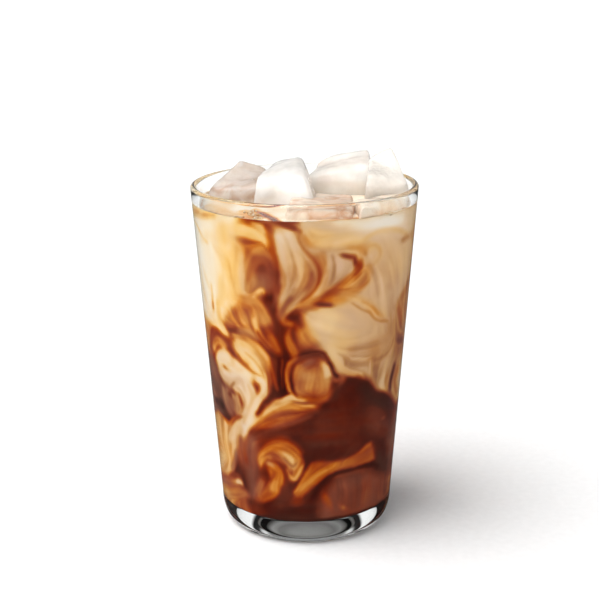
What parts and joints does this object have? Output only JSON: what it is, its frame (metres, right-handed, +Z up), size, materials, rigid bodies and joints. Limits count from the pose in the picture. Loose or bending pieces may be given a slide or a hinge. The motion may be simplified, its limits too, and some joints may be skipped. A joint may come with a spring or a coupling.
{
  "type": "iced coffee",
  "caption": "Iced milk coffee in a tapered clear glass tumbler with a thick rounded base; melting ice stands above the drink and the rim.",
  "frame": {"origin": "centre of the ring that the glass stands on, at the level of the table", "axes": "+Z up along the axis of the glass; the side that the picture shows faces -Y, with +X to its right"},
  "size_m": [0.088, 0.088, 0.1503],
  "materials": {
    "clear_glass": "clear pressed soda-lime glass, polished all over",
    "milk_coffee": "dark coffee with milk running down through it in cream, gold and brown plumes, glossy on top",
    "ice": "melting ice, wet, cloudy in the middle and tinted tan where it stands in the drink"
  },
  "bodies": {
    "root": {"glass": "clear_glass", "drink": "milk_coffee", "ice_left": "ice", "ice_centre": "ice", "ice_back_right": "ice", "ice_right": "ice", "ice_front": "ice", "ice_front_right": "ice"}
  },
  "joints": []
}
